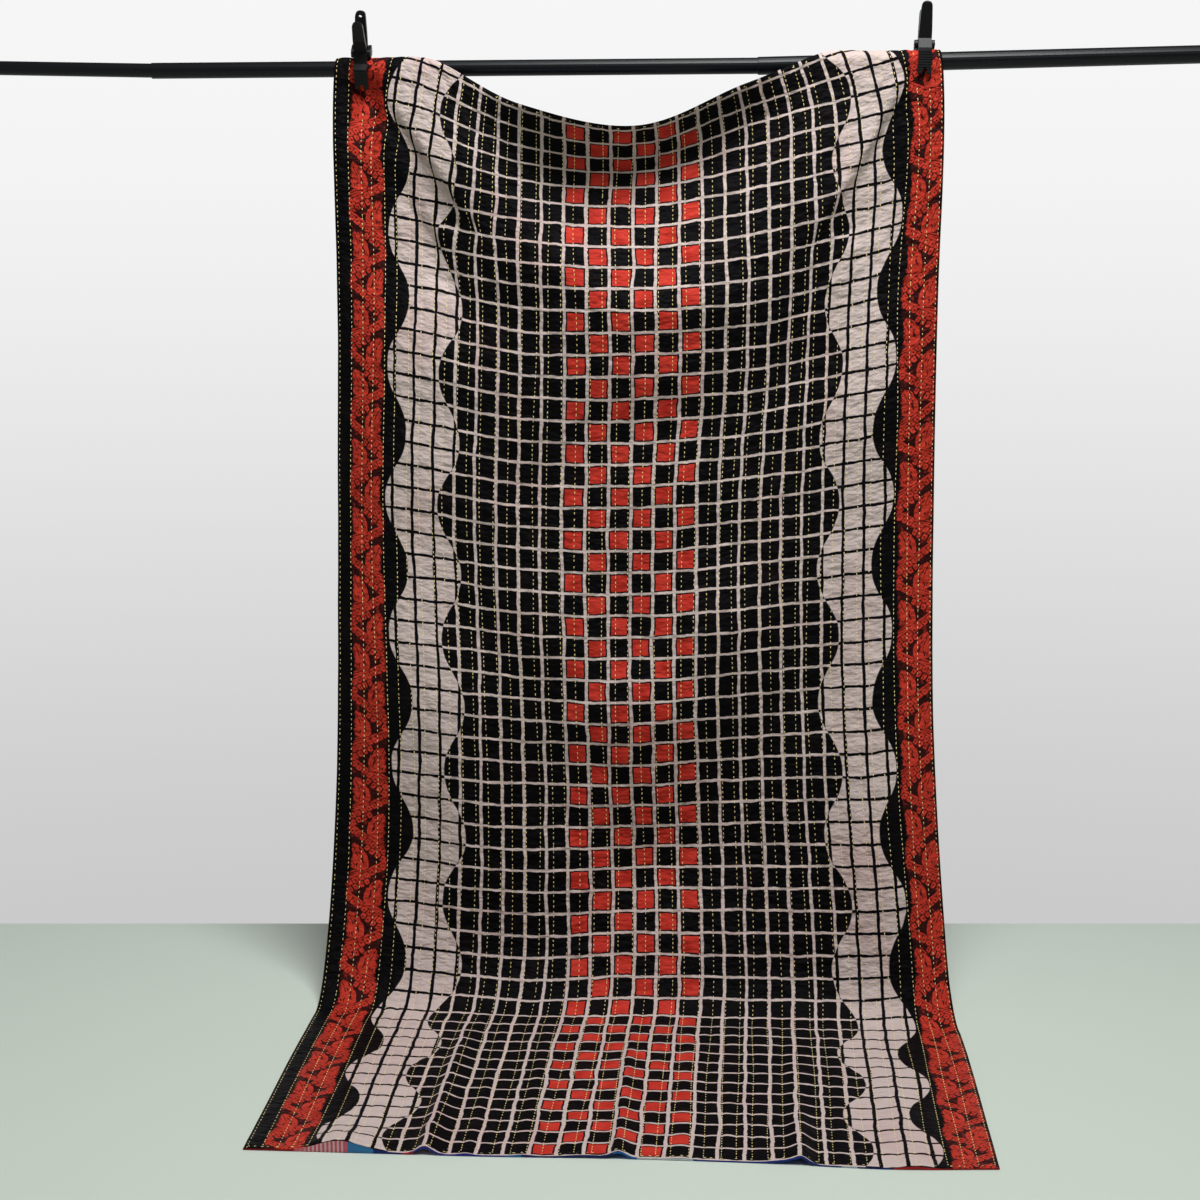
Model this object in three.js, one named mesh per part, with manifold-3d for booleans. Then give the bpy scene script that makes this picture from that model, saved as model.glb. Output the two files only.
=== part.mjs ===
// A kantha quilt hung over a telescopic rod by two spring clips at its top corners.
// Millimetres, +Z up, +X along the rod, -Y towards the viewer.
// The origin is the centre of the rod's left end face.
import * as THREE from 'three';
import { mergeVertices } from 'three/addons/utils/BufferGeometryUtils.js';
import Module from 'manifold-3d';

const wasm = await Module();
wasm.setup();

// ---------------------------------------------------------------- sizes
const CELL_W = 39.0;            // pitch of the printed check across the quilt
const CELL_L = 39.4;            // pitch of the printed check along the quilt
const LEFT_EDGE = -14.05;       // quilt edges, in printed columns from the middle line
const RIGHT_EDGE = 14.45;
const TOP_EDGE = -0.3;          // quilt ends, in printed rows from the first line
const HEM_EDGE = 57.0;

const FACE_T = 1.2;             // face cloth
const BACK_T = 1.2;             // backing cloth
const LAYER_GAP = 0.38;         // between the two

const ROD_Z = 1620;             // middle tube's axis above the floor
const ROD_R = { thin: 12.0, middle: 13.5, thick: 15.0 };
const ROD_X = { left: -1150, thinEnd: -807, thickEnd: 240, right: 1050 };
const ROD_TILT = { thin: 1.36, thick: 0.99 };   // degrees, outer ends up
const ROD_INSERT = 30;          // length of each tube inside the next
const ROD_WALL = { thin: 1.0, middle: 0.8, thick: 0.8 };
const ROD_SIDES = 24;

const WRAP_R = 18.0;            // middle of the quilt's thickness round the rod
const SWEEP_A = 49.36;          // size of the hanging curve that runs out onto the floor

// ---------------------------------------------------------------- drape tables
// Each row is one section across the quilt, at a printed row; the columns are stations across it.

// Sideways shift of the print from its flat place.
const SHIFT_AT = { leftEdge: -14.05, leftRibbon: -10, leftChecks: -5, middle: 0.2, rightChecks: 5.4, rightRibbon: 10.4, rightEdge: 14.45 };
const SHIFT = [
  // row, leftEdge, leftRibbon, leftChecks, middle, rightChecks, rightRibbon, rightEdge
  [-0.3, 68, 60, 39, 34, 10, -13, -26],
  [2, 62, 46, 33, 33, 24, 13, -13],
  [5, 61, 42, 31, 32, 29, 18, -8],
  [12, 60, 45, 35, 36, 32, 7, -11],
  [20, 56, 39, 30, 31, 21, 4, -9],
  [30, 57, 51, 39, 34, 27, 13, -3],
  [41, 41, 40, 42, 43, 44, 45, 25],
  [44.5, 38, 34, 35, 39, 42, 45, 36],
  [57, 48, 42, 37, 38, 37, 37, 32],
];

// How far the print lies above its even place along the hanging curve.
const RISE_AT = SHIFT_AT;
const RISE = [
  // row, leftEdge, leftRibbon, leftChecks, middle, rightChecks, rightRibbon, rightEdge
  [-0.3, 33, 9, -82, -122, -49, 23, 56],
  [2, 37, 13, -55, -77, -20, 27, 62],
  [4, 39, 17, -33, -49, -12, 28, 65],
  [7, 45, 20, -17, -31, -7, 36, 69],
  [12, 49, 27, -11, -14, 1, 36, 66],
  [27, 51, 36, 19, 16, 30, 45, 60],
  [41, 55, 43, 30, 41, 44, 47, 60],
  [57, 47, 48, 49, 55, 55, 48, 58],
];

// How far the cloth stands off the hanging curve, towards the viewer or up from the floor.
const BULGE_AT = { leftEdge: -14.05, leftBorder: -11.2, leftRibbon: -7.6, leftChecks: -3.8, middle: 0.2, rightChecks: 4.2, rightRibbon: 8, rightBorder: 11.6, rightEdge: 14.45 };
const BULGE = [
  // row, leftEdge, leftBorder, leftRibbon, leftChecks, middle, rightChecks, rightRibbon, rightBorder, rightEdge
  [-0.3, 0, 0, 14, 76, 92, 64, 13, 0, 0],
  [1.6, 0, 1, 14, 34, 40, 17, 5, 0, 0],
  [3.3, 3, 0, 23, 15, 22, 11, 12, -1, -5],
  [4.2, 4, -2, 27, 16, 28, 17, 16, -2, -8],
  [6, -2, -10, 23, 34, 48, 32, 21, -9, -10],
  [8, -9, -12, 12, 59, 72, 50, 13, -12, -12],
  [9.8, -15, -6, 12, 55, 98, 59, 5, -8, -15],
  [11.3, -18, 5, 20, 54, 94, 48, 1, -4, -17],
  [13.2, -21, 14, 32, 53, 82, 37, -1, 2, -20],
  [15.5, -21, 13, 30, 47, 60, 25, 5, 10, -24],
  [18, -22, 16, 32, 39, 58, 26, 5, 6, -28],
  [21.5, -20, 18, 25, 43, 48, 26, 11, 2, -29],
  [25, -8, 25, 28, 52, 43, 49, 10, 4, -26],
  [28.5, -2, 29, 42, 36, 57, 34, 4, 15, -21],
  [32, -4, 14, 36, 17, 27, 6, 8, 26, -16],
  [36, -7, -2, 20, 14, -10, -7, 9, 32, -12],
  [39.5, -4, 2, 6, -1, 1, 3, 6, 22, -7],
  [42, 2, 0, 4, 3, -1, 1, -3, 9, -5],
  [44.5, 2, 2, 2, 2, 2, 2, 2, 2, 2],
  [57, 2, 2, 2, 2, 2, 2, 2, 2, 2],
];

// Single folds: a line from (colTop, rowTop) to (colEnd, rowEnd), its half width in columns, and its height.
const FOLDS = [
  // colTop, rowTop, colEnd, rowEnd, halfWidth, height
  [-12.06, 1.45, -6.46, 7.47, 0.5, -4.4],    // pulls from the left clip
  [-11.87, 2.06, -7.57, 7.69, 0.76, -10.4],
  [-10.93, 4.58, -8.12, 10.6, 0.78, -8],
  [12.5, 1.27, 7.4, 8.1, 0.6, 5.8],    // pulls from the right clip
  [12.2, 1.93, 9.97, 8.8, 0.9, -10.6],
  [11.57, 4.07, 9.2, 10.9, 0.6, 4.8],
  [-6.78, 43.0, -7.04, 64, 0.38, 8],    // ridges that run out over the floor to the hem
  [-6.9, 51, -6.95, 66, 0.42, 4],
  [-5.35, 47, -5.4, 64, 0.3, 2.5],
  [-3.1, 45, -3.3, 64, 0.42, 2],
  [-0.9, 52, -0.9, 66, 0.9, 3],
  [0.2, 44.0, 0.36, 70, 0.36, 7],
  [0.38, 53, 0.38, 68, 0.4, 3],
  [2.7, 45.5, 2.6, 64, 0.45, 2],
  [6.6, 52, 6.55, 68, 0.7, 5],
  [6.95, 44.2, 7.2, 64, 0.34, 3.5],
  [7.1, 51, 7.02, 66, 0.34, 6],
  [10.6, 46, 11.4, 60, 0.6, 3],
  [-10.25, 54.4, -10.25, 64, 1.2, 16],    // hem standing up by the left corner
];

// Where the left clip's nodding jaw presses the cloth in under the rod.
const PRESS = [
  // col, rowFrom, rowFull, rowEnd, halfWidth, depth
  [-12.52, 0.7, 1.75, 5.0, 0.75, 23],
];

// Lines of the solid's grid: where each run of lines ends, and its cells.
const GRID_COLUMNS = [
  // endCol, cells
  [-13.35, 1], [-11.85, 4], [-6.85, 4], [0.28, 6], [7.05, 5], [12.9, 5], [RIGHT_EDGE, 3],
];
const GRID_ROWS = [
  // endRow, cells
  [2.0, 11], [8, 6], [15, 5], [41, 9], [45, 5], [HEM_EDGE, 5],
];

// ---------------------------------------------------------------- interpolation
const stationsOf = (at) => Object.values(at);

function hermite(knots, values, x) {
  const n = knots.length;
  let i = 0;
  while (i < n - 2 && x > knots[i + 1]) i++;
  const slope = (k) => {
    const a = Math.max(k - 1, 0), b = Math.min(k + 1, n - 1);
    return (values[b] - values[a]) / (knots[b] - knots[a]);
  };
  const h = knots[i + 1] - knots[i], t = (x - knots[i]) / h;
  const t2 = t * t, t3 = t2 * t;
  return (2 * t3 - 3 * t2 + 1) * values[i] + (t3 - 2 * t2 + t) * h * slope(i)
    + (-2 * t3 + 3 * t2) * values[i + 1] + (t3 - t2) * h * slope(i + 1);
}

function fromTable(table, stations, col, row) {
  const rows = table.map((line) => line[0]);
  const across = table.map((line) => hermite(stations, line.slice(1), col));
  return hermite(rows, across, row);
}

const smooth = (t) => { const s = Math.min(Math.max(t, 0), 1); return s * s * (3 - 2 * s); };

function foldHeight(col, row) {
  let sum = 0;
  for (const [colTop, rowTop, colEnd, rowEnd, halfWidth, height] of FOLDS) {
    const t = (row - rowTop) / (rowEnd - rowTop);
    if (t <= 0 || t >= 1) continue;
    const line = colTop + (colEnd - colTop) * t;
    const grow = smooth(t / 0.25) * smooth((1 - t) / 0.2);
    sum += height * grow * Math.exp(-(((col - line) / halfWidth) ** 2));
  }
  for (const [at, rowFrom, rowFull, rowEnd, halfWidth, depth] of PRESS) {
    const grow = smooth((row - rowFrom) / (rowFull - rowFrom)) * smooth((rowEnd - row) / (rowEnd - rowFull));
    sum -= depth * grow * Math.exp(-(((col - at) / halfWidth) ** 4));
  }
  return sum;
}

// ---------------------------------------------------------------- the hanging surface
const SWEEP = SWEEP_A * Math.acosh(1 + ROD_Z / SWEEP_A);
const ROD_REACH = Math.sqrt((ROD_Z + SWEEP_A) ** 2 - SWEEP_A ** 2);   // curve length, floor to rod
const SHIFT_COLS = stationsOf(SHIFT_AT), RISE_COLS = stationsOf(RISE_AT), BULGE_COLS = stationsOf(BULGE_AT);
const FLOOR_REST = BACK_T + LAYER_GAP / 2;

// A point of the quilt's middle, from its printed column and row.
function clothPoint(col, row) {
  const x = col * CELL_W + fromTable(SHIFT, SHIFT_COLS, col, row);
  const along = ROD_REACH - row * CELL_L + fromTable(RISE, RISE_COLS, col, row);
  let off = fromTable(BULGE, BULGE_COLS, col, row) + foldHeight(col, row);
  let y, z;
  const over = along - ROD_REACH;
  if (over > 0) {                       // over the rod, and down behind it
    const r = WRAP_R + Math.max(off, 0);
    const turn = Math.min(over / r, Math.PI);
    y = -r * Math.cos(turn);
    z = ROD_Z + r * Math.sin(turn) - Math.max(over - Math.PI * r, 0);
  } else if (along > 0) {               // the hanging curve
    const run = SWEEP_A * Math.asinh(along / SWEEP_A);
    const flat = 1 / Math.cosh(run / SWEEP_A), steep = Math.tanh(run / SWEEP_A);
    off += smooth(1 - along / (4 * SWEEP_A)) * Math.max(FLOOR_REST - off, 0);   // eases to its rest on the floor
    y = -WRAP_R - SWEEP + run - steep * off;
    z = SWEEP_A * (Math.cosh(run / SWEEP_A) - 1) + flat * off;
  } else {                              // on the floor
    y = -WRAP_R - SWEEP + along;
    z = Math.max(off, FLOOR_REST);
  }
  const nearRod = smooth((along - (ROD_REACH - 300)) / 300);
  z += Math.max(x - ROD_X.thickEnd, 0) * Math.tan(THREE.MathUtils.degToRad(ROD_TILT.thick)) * nearRod;
  return new THREE.Vector3(x, y, z);
}

function gridLines() {
  const runs = (first, table) => table.reduce((lines, [end, cells]) => {
    const start = lines[lines.length - 1];
    for (let k = 1; k <= cells; k++) lines.push(start + (end - start) * k / cells);
    return lines;
  }, [first]);
  return { cols: runs(LEFT_EDGE, GRID_COLUMNS), rows: runs(TOP_EDGE, GRID_ROWS) };
}

// For each grid point, the vector that moves every facet round it outwards by at least one unit, on the print's side.
function offsetVectors(grid, nr, nc) {
  const facets = [];
  for (let r = 0; r < nr - 1; r++) for (let c = 0; c < nc - 1; c++) {
    const a = r * nc + c, b = a + nc, d = a + 1, e = b + 1;
    for (const [u, v, w] of [[a, b, e], [a, e, d]]) {
      const n = grid[v].clone().sub(grid[u]).cross(grid[w].clone().sub(grid[u])).normalize();
      facets.push([[u, v, w], n]);
    }
  }
  const outs = grid.map(() => new THREE.Vector3());
  for (const [corners, n] of facets) corners.forEach((i) => outs[i].add(n));
  outs.forEach((v) => v.normalize());
  const least = grid.map(() => 1);
  for (const [corners, n] of facets) corners.forEach((i) => { least[i] = Math.min(least[i], outs[i].dot(n)); });
  outs.forEach((v, i) => v.multiplyScalar(1 / Math.max(least[i], 0.75)));
  return outs;
}

// A closed sheet between two offsets from the quilt's middle.
function sheet(low, high) {
  const { cols, rows } = gridLines();
  const nc = cols.length, nr = rows.length, layer = nc * nr;
  const points = [];
  const middle = rows.flatMap((r) => cols.map((c) => clothPoint(c, r)));
  const outs = offsetVectors(middle, nr, nc);
  for (const offset of [high, low]) {
    middle.forEach((p, i) => points.push(...p.clone().addScaledVector(outs[i], offset)));
  }
  const tri = [];
  const id = (side, r, c) => side * layer + r * nc + c;
  const quad = (a, b, c, d) => tri.push(a, b, c, a, c, d);
  for (let r = 0; r < nr - 1; r++) for (let c = 0; c < nc - 1; c++) {
    const a = id(0, r, c), b = id(0, r + 1, c), d = id(0, r, c + 1), e = id(0, r + 1, c + 1);
    tri.push(a, b, e, a, e, d);
    tri.push(a + layer, e + layer, b + layer, a + layer, d + layer, e + layer);
  }
  for (let c = 0; c < nc - 1; c++) {
    quad(id(0, 0, c), id(0, 0, c + 1), id(1, 0, c + 1), id(1, 0, c));
    quad(id(0, nr - 1, c + 1), id(0, nr - 1, c), id(1, nr - 1, c), id(1, nr - 1, c + 1));
  }
  for (let r = 0; r < nr - 1; r++) {
    quad(id(0, r + 1, 0), id(0, r, 0), id(1, r, 0), id(1, r + 1, 0));
    quad(id(0, r, nc - 1), id(0, r + 1, nc - 1), id(1, r + 1, nc - 1), id(1, r, nc - 1));
  }
  const geometry = new THREE.BufferGeometry();
  geometry.setAttribute('position', new THREE.Float32BufferAttribute(points, 3));
  geometry.setIndex(tri);
  geometry.computeVertexNormals();
  return geometry;
}

// ---------------------------------------------------------------- solids
function toSolid(geometry) {
  let g = geometry.clone();
  g.deleteAttribute('normal');
  g.deleteAttribute('uv');
  g = mergeVertices(g, 1e-4);
  return new wasm.Manifold(new wasm.Mesh({
    numProp: 3,
    vertProperties: new Float32Array(g.attributes.position.array),
    triVerts: new Uint32Array(g.index.array),
  }));
}

function toGeometry(solid) {
  const m = solid.getMesh();
  const g = new THREE.BufferGeometry();
  g.setAttribute('position', new THREE.Float32BufferAttribute(Array.from(m.vertProperties), 3));
  g.setIndex(Array.from(m.triVerts));
  g.computeVertexNormals();
  return g;
}

// A turned tube along +X: start, end, outer and inner radius, with one end closed or both open.
function tube(start, end, rOut, rIn, closedEnd) {
  const lip = 3, rim = 0.6;
  const p = (r, x) => new THREE.Vector2(r, x);
  let profile;
  if (closedEnd === 'start') {
    profile = [p(0, start), p(rOut - rim, start), p(rOut, start + rim), p(rOut, end - rim), p(rOut - rim, end), p(rIn, end), p(rIn, start + lip), p(0, start + lip)];
  } else if (closedEnd === 'end') {
    profile = [p(0, end - lip), p(rIn, end - lip), p(rIn, start), p(rOut - rim, start), p(rOut, start + rim), p(rOut, end - rim), p(rOut - rim, end), p(0, end)];
  } else {
    profile = [p(rIn, start), p(rOut - rim, start), p(rOut, start + rim), p(rOut, end - rim), p(rOut - rim, end), p(rIn, end), p(rIn, start)];
  }
  const g = new THREE.LatheGeometry(profile, ROD_SIDES);
  g.rotateZ(-Math.PI / 2);      // lathe axis +Y becomes +X
  return g;
}

// Lathe walls may come out inside out with the direction of their profile; this turns them outwards.
function outward(geometry) {
  const g = mergeVertices((() => { const k = geometry.clone(); k.deleteAttribute('normal'); k.deleteAttribute('uv'); return k; })(), 1e-4);
  const pos = g.attributes.position, index = Array.from(g.index.array);
  const keep = [];
  let volume = 0;
  const a = new THREE.Vector3(), b = new THREE.Vector3(), c = new THREE.Vector3();
  for (let i = 0; i < index.length; i += 3) {
    const [u, v, w] = index.slice(i, i + 3);
    if (u === v || v === w || u === w) continue;
    keep.push(u, v, w);
    a.fromBufferAttribute(pos, u); b.fromBufferAttribute(pos, v); c.fromBufferAttribute(pos, w);
    volume += a.dot(b.clone().cross(c));
  }
  if (volume < 0) for (let i = 0; i < keep.length; i += 3) { const t = keep[i]; keep[i] = keep[i + 1]; keep[i + 1] = t; }
  g.setIndex(keep);
  g.computeVertexNormals();
  return g;
}

// ---------------------------------------------------------------- spring clip
const CLIP = {
  width: 22,              // jaws and handles
  pivotZ: 28.5,             // above the rod's axis
  pinR: 2.4, boreR: 2.8, bossR: 6.5, earR: 7.3,
  grip: 21.0,             // inner face of the front jaw from the rod's axis
  backGrip: 21.6,         // inner face of the back jaw
  jaw: 6.5,               // jaw thickness
  jawTip: -26,            // below the rod's axis
  handleTop: 95,         // above the rod's axis
  handleLean: 18.5,         // how far the handle's top leans out
  handleT: 7.5,
  earT: 5.4, earGap: 0.4,
  ridgePitch: 4.2, ridgeDepth: 1.0, ridges: 8,
  notchW: 7.6, notchH: 9,
  holeR: 3.2, holeDown: 9,
};

// Side outline of a lever: out is measured away from the rod on the lever's own side, up along Z.
function leverSide(grip) {
  const { jaw, jawTip, pivotZ, bossR, handleTop, handleLean, handleT, ridgePitch, ridgeDepth, ridges } = CLIP;
  const pts = [];
  const add = (out, up) => pts.push(new THREE.Vector2(out, up));
  add(grip + 1.2, jawTip);
  add(grip, jawTip + 3);
  for (let k = 0; k <= 6; k++) {                     // round the rod
    const t = THREE.MathUtils.degToRad(60 * k / 6);
    add(grip * Math.cos(t), grip * Math.sin(t));
  }
  for (let k = 0; k <= 8; k++) {                     // boss round the pivot
    const t = THREE.MathUtils.degToRad(-75 - 210 * k / 8);
    add(bossR * Math.cos(t), pivotZ + bossR * Math.sin(t));
  }
  add(handleLean * 0.55, pivotZ + 30);
  add(handleLean, handleTop - 3);
  add(handleLean + 2, handleTop);
  add(handleLean + handleT - 2, handleTop);
  add(handleLean + handleT, handleTop - 3);
  add(handleLean * 0.55 + handleT + 1, pivotZ + 30);
  add(bossR + 3.5, pivotZ + 8);
  add(grip * 0.72 + jaw * 0.72, grip * 0.72 + jaw * 0.72 - 1);
  for (let k = 0; k < ridges; k++) {                 // ridges down the jaw's outer face
    const up = 12 - k * ridgePitch;
    add(grip + jaw, up);
    add(grip + jaw, up - ridgePitch * 0.5);
    add(grip + jaw - ridgeDepth, up - ridgePitch * 0.62);
    add(grip + jaw - ridgeDepth, up - ridgePitch * 0.92);
  }
  add(grip + jaw - ridgeDepth, jawTip + 2);
  add(grip + jaw - 2.2, jawTip);
  return new THREE.Shape(pts);
}

// A side outline swept across the clip's width; toward is -1 for the front lever, +1 for the back one.
function sideSolid(shape, from, to, toward) {
  const g = new THREE.ExtrudeGeometry(shape, { depth: to - from, bevelEnabled: false, curveSegments: 4 });
  // shape x -> out, shape y -> up, depth -> across
  const m = new THREE.Matrix4().set(
    0, 0, 1, from,
    toward, 0, 0, 0,
    0, 1, 0, 0,
    0, 0, 0, 1);
  g.applyMatrix4(m);
  return toSolid(outward(g));
}

// Front view of a lever: a tapered strip with a round top, and the notch between the jaw's two prongs.
function frontSolid(withHole) {
  const { width, jawTip, handleTop, notchW, notchH, holeR, holeDown } = CLIP;
  const w = width / 2, tip = w * 0.82;
  const s = new THREE.Shape();
  s.moveTo(-w, jawTip - 1);
  s.lineTo(-notchW / 2, jawTip - 1);
  s.lineTo(-notchW / 2, jawTip + notchH - 2);
  s.lineTo(-notchW / 2 + 2, jawTip + notchH);
  s.lineTo(notchW / 2 - 2, jawTip + notchH);
  s.lineTo(notchW / 2, jawTip + notchH - 2);
  s.lineTo(notchW / 2, jawTip - 1);
  s.lineTo(w, jawTip - 1);
  s.lineTo(w, CLIP.pivotZ + 14);
  s.lineTo(tip, handleTop - tip);
  for (let k = 1; k <= 8; k++) {
    const t = Math.PI * k / 8;
    s.lineTo(tip * Math.cos(t), handleTop - tip + tip * Math.sin(t));
  }
  s.lineTo(-w, CLIP.pivotZ + 14);
  if (withHole) {
    const hole = new THREE.Path();
    hole.absarc(0, handleTop - holeDown, holeR, 0, Math.PI * 2, true);
    s.holes.push(hole);
  }
  const g = new THREE.ExtrudeGeometry(s, { depth: 160, bevelEnabled: false, curveSegments: 6 });
  const m = new THREE.Matrix4().set(1, 0, 0, 0, 0, 0, 1, -80, 0, 1, 0, 0, 0, 0, 0, 1);
  g.applyMatrix4(m);
  return toSolid(outward(g));
}

function boreSolid(radius) {
  const g = new THREE.CylinderGeometry(radius, radius, 60, 16);
  g.rotateZ(Math.PI / 2);
  g.translate(0, 0, CLIP.pivotZ);
  return toSolid(g);
}

function frontLever() {
  const half = CLIP.width / 2;
  return toGeometry(sideSolid(leverSide(CLIP.grip), -half, half, -1).intersect(frontSolid(false)).subtract(boreSolid(CLIP.boreR)));
}

function backLever() {
  const { width, pivotZ, bossR, earR, earT, earGap } = CLIP;
  const half = width / 2;
  // the back lever keeps clear of the front one's boss, and carries two ears outside it
  const room = toSolid((() => { const g = new THREE.CylinderGeometry(bossR + 1.6, bossR + 1.6, width + 2 * earGap, 20); g.rotateZ(Math.PI / 2); g.translate(0, 0, pivotZ); return g; })());
  const clear = toSolid((() => { const g = new THREE.BoxGeometry(width + 2 * earGap, 60, 200); g.translate(0, 30 - 60 - 2.2, pivotZ + 20); return g; })());
  const body = sideSolid(leverSide(CLIP.backGrip), -half, half, 1).intersect(frontSolid(true)).subtract(room).subtract(clear);
  const ear = new THREE.Shape();
  for (let k = 0; k <= 10; k++) {
    const t = THREE.MathUtils.degToRad(90 + 180 * k / 10);
    const out = earR * Math.cos(t), up = pivotZ + earR * Math.sin(t);
    if (k === 0) ear.moveTo(out, up); else ear.lineTo(out, up);
  }
  ear.lineTo(13, pivotZ - earR);
  ear.lineTo(17.5, pivotZ - 4);
  ear.lineTo(14.5, pivotZ + 9);
  const near = half + earGap, far = near + earT;
  const web = new THREE.Shape([new THREE.Vector2(11.2, pivotZ - 6), new THREE.Vector2(16.5, pivotZ - 4.5), new THREE.Vector2(14, pivotZ + 8), new THREE.Vector2(11.2, pivotZ + 8)]);
  let solid = body.add(sideSolid(ear, near, far, 1)).add(sideSolid(ear, -far, -near, 1)).add(sideSolid(web, -far + 0.5, far - 0.5, 1));
  return toGeometry(solid.subtract(boreSolid(CLIP.boreR)));
}

function pinGeometry() {
  const { width, earT, earGap, pinR, pivotZ } = CLIP;
  const g = new THREE.CylinderGeometry(pinR, pinR, width + 2 * (earGap + earT) + 1.6, 16);
  g.rotateZ(Math.PI / 2);
  g.translate(0, 0, pivotZ);
  return g;
}

// ---------------------------------------------------------------- materials
const mat = (color, roughness, metalness) => new THREE.MeshStandardMaterial({ color, roughness, metalness });
const faceCotton = mat(0x1d1c20, 0.9, 0);
const backCotton = mat(0xb83a3c, 0.9, 0);
const rodBlack = mat(0x15171a, 0.35, 0.3);
const clipNylon = mat(0x141819, 0.45, 0);
const pinSteel = mat(0x3a3c3e, 0.35, 0.9);

// ---------------------------------------------------------------- assembly
const part = new THREE.Group();
const deg = THREE.MathUtils.degToRad;
const THIN_REACH = ROD_X.thinEnd + ROD_INSERT / 2 - ROD_X.left;      // overlap's middle to the outer end
const THICK_REACH = ROD_X.right - ROD_X.thickEnd - ROD_INSERT / 2;
const leftEnd = new THREE.Vector3(
  ROD_X.left + THIN_REACH * (1 - Math.cos(deg(ROD_TILT.thin))), 0,
  ROD_Z + THIN_REACH * Math.sin(deg(ROD_TILT.thin)));
part.position.copy(leftEnd).negate();

function mesh(name, geometry, material, parent = part) {
  const m = new THREE.Mesh(geometry, material);
  m.name = name;
  parent.add(m);
  return m;
}

const half = LAYER_GAP / 2;
mesh('quilt_face', sheet(half, half + FACE_T), faceCotton);
mesh('quilt_backing', sheet(-half - BACK_T, -half), backCotton);

// Each outer tube turns about the middle of its overlap with the middle tube.
const thinHinge = new THREE.Group();
thinHinge.position.set(ROD_X.thinEnd + ROD_INSERT / 2, 0, ROD_Z);
thinHinge.rotation.y = deg(ROD_TILT.thin);
part.add(thinHinge);
mesh('rod_thin', outward(tube(-THIN_REACH, ROD_INSERT / 2, ROD_R.thin, ROD_R.thin - ROD_WALL.thin, 'start')), rodBlack, thinHinge);

const middle = mesh('rod_middle', outward(tube(ROD_X.thinEnd, ROD_X.thickEnd + ROD_INSERT, ROD_R.middle, ROD_R.middle - ROD_WALL.middle, 'none')), rodBlack);
middle.position.z = ROD_Z;

const thickHinge = new THREE.Group();
thickHinge.position.set(ROD_X.thickEnd + ROD_INSERT / 2, 0, ROD_Z);
thickHinge.rotation.y = -deg(ROD_TILT.thick);
part.add(thickHinge);
mesh('rod_thick', outward(tube(-ROD_INSERT / 2, THICK_REACH, ROD_R.thick, ROD_R.thick - ROD_WALL.thick, 'end')), rodBlack, thickHinge);

// Where each clip sits on the rod, and how it leans.
const CLIPS = [
  // name, x, nod (about the rod), roll (in the viewer's plane), yaw
  { name: 'clip_left', x: -438, nod: 32, roll: 1.5, yaw: 3 },
  { name: 'clip_right', x: 519, nod: -6, roll: 1.5, yaw: -1 },
];
for (const { name, x, nod, roll, yaw } of CLIPS) {
  const clip = new THREE.Group();
  clip.position.set(x, 0, ROD_Z + Math.max(x - ROD_X.thickEnd, 0) * Math.tan(deg(ROD_TILT.thick)));
  clip.rotation.set(deg(nod), deg(roll), deg(yaw), 'ZYX');
  part.add(clip);
  mesh(`${name}_front_lever`, frontLever(), clipNylon, clip);
  mesh(`${name}_back_lever`, backLever(), clipNylon, clip);
  mesh(`${name}_pin`, pinGeometry(), pinSteel, clip);
}

export default part;
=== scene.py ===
# A kantha quilt hung over a telescopic rod by two clips: its folds, print, stitches and finishes.
# Metres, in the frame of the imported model. The drape's tables are in millimetres, as in the part's source.
import math
import bpy
import numpy as np
from mathutils import Matrix, Vector


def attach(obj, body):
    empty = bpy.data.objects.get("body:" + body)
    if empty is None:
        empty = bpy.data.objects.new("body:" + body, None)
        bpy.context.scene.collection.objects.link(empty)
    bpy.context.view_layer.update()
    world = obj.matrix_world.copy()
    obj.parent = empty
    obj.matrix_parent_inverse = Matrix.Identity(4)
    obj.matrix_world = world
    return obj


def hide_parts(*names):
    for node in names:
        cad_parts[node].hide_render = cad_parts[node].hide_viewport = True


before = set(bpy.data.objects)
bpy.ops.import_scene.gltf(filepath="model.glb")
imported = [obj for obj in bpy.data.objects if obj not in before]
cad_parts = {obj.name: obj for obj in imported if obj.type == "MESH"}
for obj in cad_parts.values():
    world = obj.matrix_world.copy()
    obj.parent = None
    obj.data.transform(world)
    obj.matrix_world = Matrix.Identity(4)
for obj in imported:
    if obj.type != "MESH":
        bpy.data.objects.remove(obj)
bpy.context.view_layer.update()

rng = np.random.RandomState(11)

# ------------------------------------------------------------------ sizes (mm)
CELL_W, CELL_L = 39.0, 39.4
LEFT_EDGE, RIGHT_EDGE = -14.05, 14.45
TOP_EDGE, HEM_EDGE = -0.3, 57.0
FLOOR_REST = 1.39
ROD_Z, THICK_END, THICK_TILT = 1620.0, 240.0, 0.99
WRAP_R, SWEEP_A = 18.0, 49.36
ORIGIN = np.array([-1149.8991524871403, 0.0, 1628.49686112554])

STITCH_LINES = 48            # rows of running stitch along the quilt
FIRST_LINE, LAST_LINE = -13.92, 14.31
STITCH_PITCH, STITCH_LEN, STITCH_W, STITCH_H = 8.9, 4.6, 1.5, 0.6

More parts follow.
